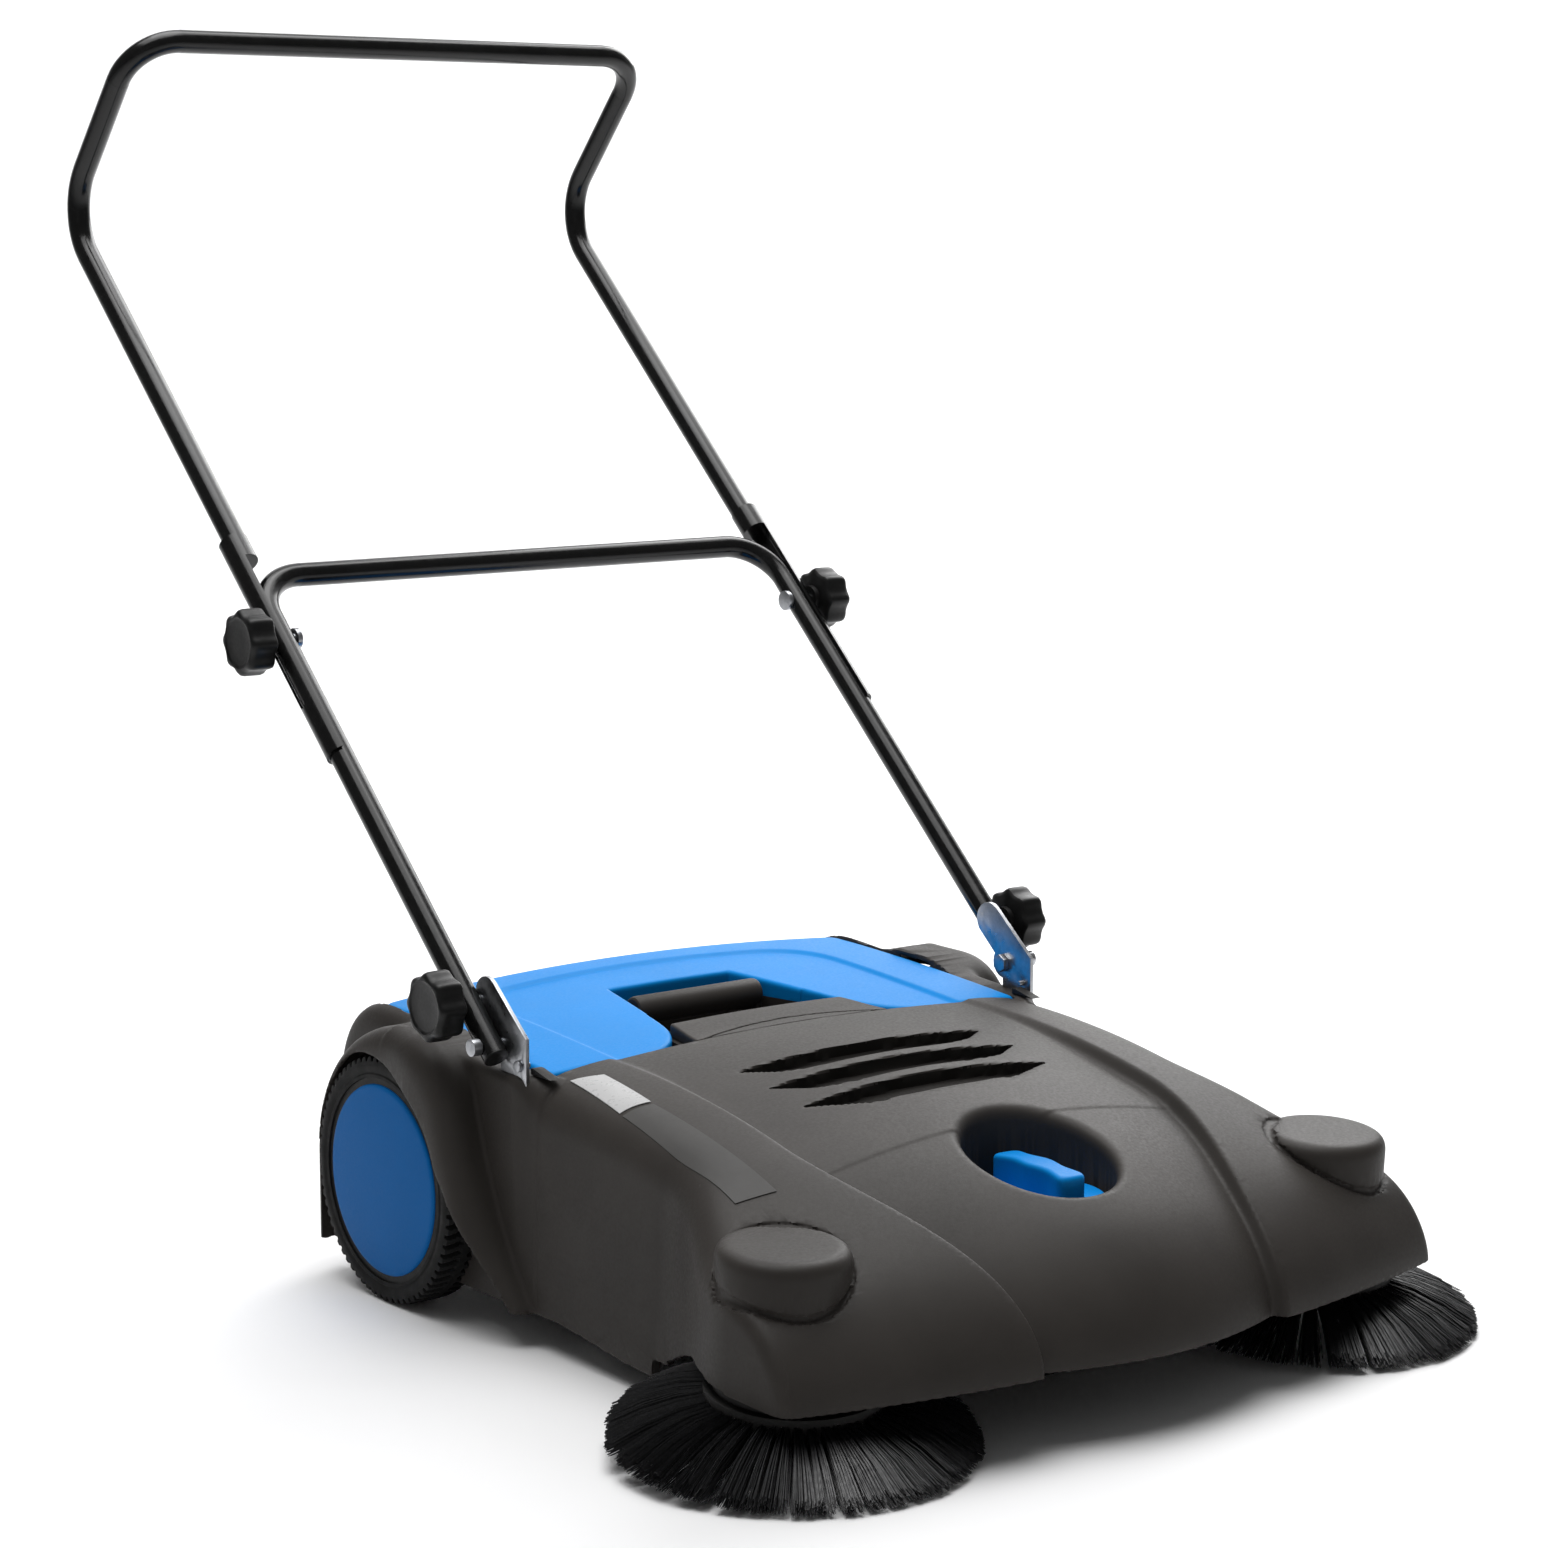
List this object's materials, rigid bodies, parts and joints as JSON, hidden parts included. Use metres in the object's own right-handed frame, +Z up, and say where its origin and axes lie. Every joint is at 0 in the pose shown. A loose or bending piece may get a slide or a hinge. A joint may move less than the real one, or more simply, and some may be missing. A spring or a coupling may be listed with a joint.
{
  "type": "push floor sweeper",
  "caption": "Hand-push floor sweeper: folding adjustable tube handle, hopper with carry lid, ground wheels, geared sweeping roller, side brushes and a height-set support roller.",
  "frame": {"origin": "middle of the bounding box, on the floor", "axes": "+Z up, -Y the direction it is pushed, X along the wheel axles"},
  "size_m": [0.7002, 1.0471, 0.9147],
  "materials": {
    "housing_plastic": "fine-grained matte moulded plastic",
    "dark_plastic": "matte moulded plastic",
    "blue_plastic": "satin blue moulded plastic",
    "black_tube": "gloss black powder-coated steel tube",
    "zinc_steel": "bright zinc-plated steel",
    "knob_plastic": "matte black moulded plastic",
    "tyre_rubber": "black rubber",
    "bristle": "black plastic filament",
    "bearing_plastic": "natural acetal",
    "label_film": "grey label film without any print"
  },
  "bodies": {
    "chassis": {"main_housing": "housing_plastic", "front_floor": "dark_plastic", "cheek_left": "dark_plastic", "cheek_right": "dark_plastic", "bracket_left": "zinc_steel", "bracket_right": "zinc_steel", "bracket_screw_left": "zinc_steel", "bracket_screw_right": "zinc_steel", "pivot_bolt_left": "zinc_steel", "pivot_bolt_right": "zinc_steel", "slot_flap_left": "dark_plastic", "slot_flap_right": "dark_plastic", "axle_left": "zinc_steel", "axle_right": "zinc_steel", "roller_bush_left": "bearing_plastic", "roller_bush_right": "bearing_plastic", "brush_bush_left": "bearing_plastic", "brush_bush_right": "bearing_plastic", "wheel_clip_left": "zinc_steel", "wheel_clip_right": "zinc_steel", "blank_label": "label_film", "guide_sleeve": "dark_plastic"},
    "hopper": {"hopper_bin": "housing_plastic", "hopper_lid": "blue_plastic", "hopper_panel": "housing_plastic", "carry_handle": "housing_plastic"},
    "lower_handle": {"lower_frame": "black_tube", "leg_plug_left": "knob_plastic", "leg_plug_right": "knob_plastic", "mid_bolt_left": "zinc_steel", "mid_bolt_right": "zinc_steel"},
    "upper_handle": {"upper_handle": "black_tube"},
    "sweeping_roller": {"roller_core": "dark_plastic", "roller_bristles": "bristle", "roller_pinion": "bearing_plastic"},
    "height_screw": {"height_knob": "blue_plastic", "height_spindle": "zinc_steel"},
    "support_carrier": {"support_fork": "dark_plastic", "support_pin": "zinc_steel"},
    "support_roller": {"support_roller": "tyre_rubber"},
    "low_knob_left": {"low_knob_left": "knob_plastic", "low_stud_left": "zinc_steel"},
    "mid_knob_left": {"mid_knob_left": "knob_plastic"},
    "wheel_left": {"tyre_left": "tyre_rubber", "rim_left": "dark_plastic", "hubcap_left": "blue_plastic"},
    "side_brush_left": {"brush_hub_left": "dark_plastic", "brush_bristles_left": "bristle", "brush_cap_left": "zinc_steel"},
    "low_knob_right": {"low_knob_right": "knob_plastic", "low_stud_right": "zinc_steel"},
    "mid_knob_right": {"mid_knob_right": "knob_plastic"},
    "wheel_right": {"tyre_right": "tyre_rubber", "rim_right": "dark_plastic", "hubcap_right": "blue_plastic"},
    "side_brush_right": {"brush_hub_right": "dark_plastic", "brush_bristles_right": "bristle", "brush_cap_right": "zinc_steel"}
  },
  "joints": [
    {"name": "handle_fold", "type": "hinge", "parent": "chassis", "child": "lower_handle", "pos_m": [0, -0.07464, 0.206], "axis": [1, 0, 0], "range_deg": [0, 115]},
    {"name": "handle_height", "type": "slide", "parent": "lower_handle", "child": "upper_handle", "axis": [0, 0.7314, 0.682], "range_m": [0, 0.061]},
    {"name": "hopper_lift", "type": "slide", "parent": "chassis", "child": "hopper", "axis": [0, 0, 1], "range_m": [0, 0.24]},
    {"name": "roller_spin", "type": "hinge", "parent": "chassis", "child": "sweeping_roller", "pos_m": [0, -0.05813, 0.073], "axis": [1, 0, 0], "continuous": true},
    {"name": "height_turn", "type": "hinge", "parent": "chassis", "child": "height_screw", "pos_m": [0, -0.37364, 0.13], "axis": [0, 0, 1], "range_deg": [0, 270]},
    {"name": "support_lower", "type": "slide", "parent": "chassis", "child": "support_carrier", "axis": [0, 0, 1], "range_m": [-0.012, 0]},
    {"name": "support_spin", "type": "hinge", "parent": "support_carrier", "child": "support_roller", "pos_m": [0, -0.37364, 0.025], "axis": [1, 0, 0], "continuous": true},
    {"name": "wheel_left_spin", "type": "hinge", "parent": "chassis", "child": "wheel_left", "pos_m": [-0.244, 0.03636, 0.09], "axis": [1, 0, 0], "continuous": true},
    {"name": "side_brush_left_spin", "type": "hinge", "parent": "chassis", "child": "side_brush_left", "pos_m": [-0.2274, -0.40094, 0.00911], "axis": [-0.0174, -0.0698, 0.9974], "continuous": true},
    {"name": "low_knob_left_turn", "type": "hinge", "parent": "lower_handle", "child": "low_knob_left", "pos_m": [-0.26, -0.04685, 0.23192], "axis": [1, 0, 0], "continuous": true},
    {"name": "mid_knob_left_turn", "type": "hinge", "parent": "lower_handle", "child": "mid_knob_left", "pos_m": [-0.265, 0.20034, 0.46243], "axis": [1, 0, 0], "continuous": true},
    {"name": "wheel_right_spin", "type": "hinge", "parent": "chassis", "child": "wheel_right", "pos_m": [0.244, 0.03636, 0.09], "axis": [1, 0, 0], "continuous": true},
    {"name": "side_brush_right_spin", "type": "hinge", "parent": "chassis", "child": "side_brush_right", "pos_m": [0.2274, -0.40094, 0.00911], "axis": [0.0174, -0.0698, 0.9974], "continuous": true},
    {"name": "low_knob_right_turn", "type": "hinge", "parent": "lower_handle", "child": "low_knob_right", "pos_m": [0.26, -0.04685, 0.23192], "axis": [1, 0, 0], "continuous": true},
    {"name": "mid_knob_right_turn", "type": "hinge", "parent": "lower_handle", "child": "mid_knob_right", "pos_m": [0.265, 0.20034, 0.46243], "axis": [1, 0, 0], "continuous": true}
  ],
  "couplings": [
    {"joint": "roller_spin", "follows": "wheel_left_spin", "ratio": -3},
    {"joint": "side_brush_left_spin", "follows": "wheel_left_spin", "ratio": 1.6},
    {"joint": "side_brush_right_spin", "follows": "wheel_right_spin", "ratio": -1.6},
    {"joint": "support_lower", "follows": "height_turn", "m_per_rad": -0.0025465}
  ]
}
